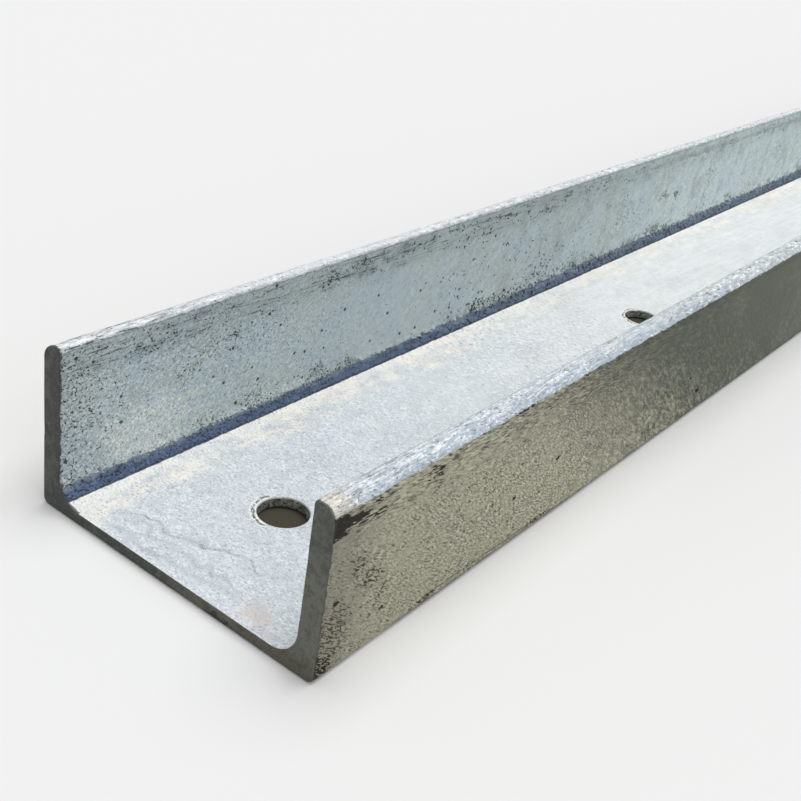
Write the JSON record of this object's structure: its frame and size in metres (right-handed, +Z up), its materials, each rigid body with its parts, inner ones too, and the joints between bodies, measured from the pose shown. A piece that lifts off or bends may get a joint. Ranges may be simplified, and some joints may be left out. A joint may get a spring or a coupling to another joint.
{
  "type": "steel u-channel",
  "caption": "Hot-dip galvanised parallel flange steel channel with round bolt holes along the centre of its web.",
  "frame": {"origin": "middle of the underside, on the back of the web, halfway along the bar", "axes": "+Y along the bar, -Y end is the cut end in the picture; +Z up from the back of the web towards the flange toes; +X across the web"},
  "size_m": [0.15, 1.8, 0.075],
  "materials": {
    "galvanised_steel": "dull hot-dip zinc, weathered, with grime and worn edges"
  },
  "bodies": {
    "root": {"channel": "galvanised_steel"}
  },
  "joints": []
}
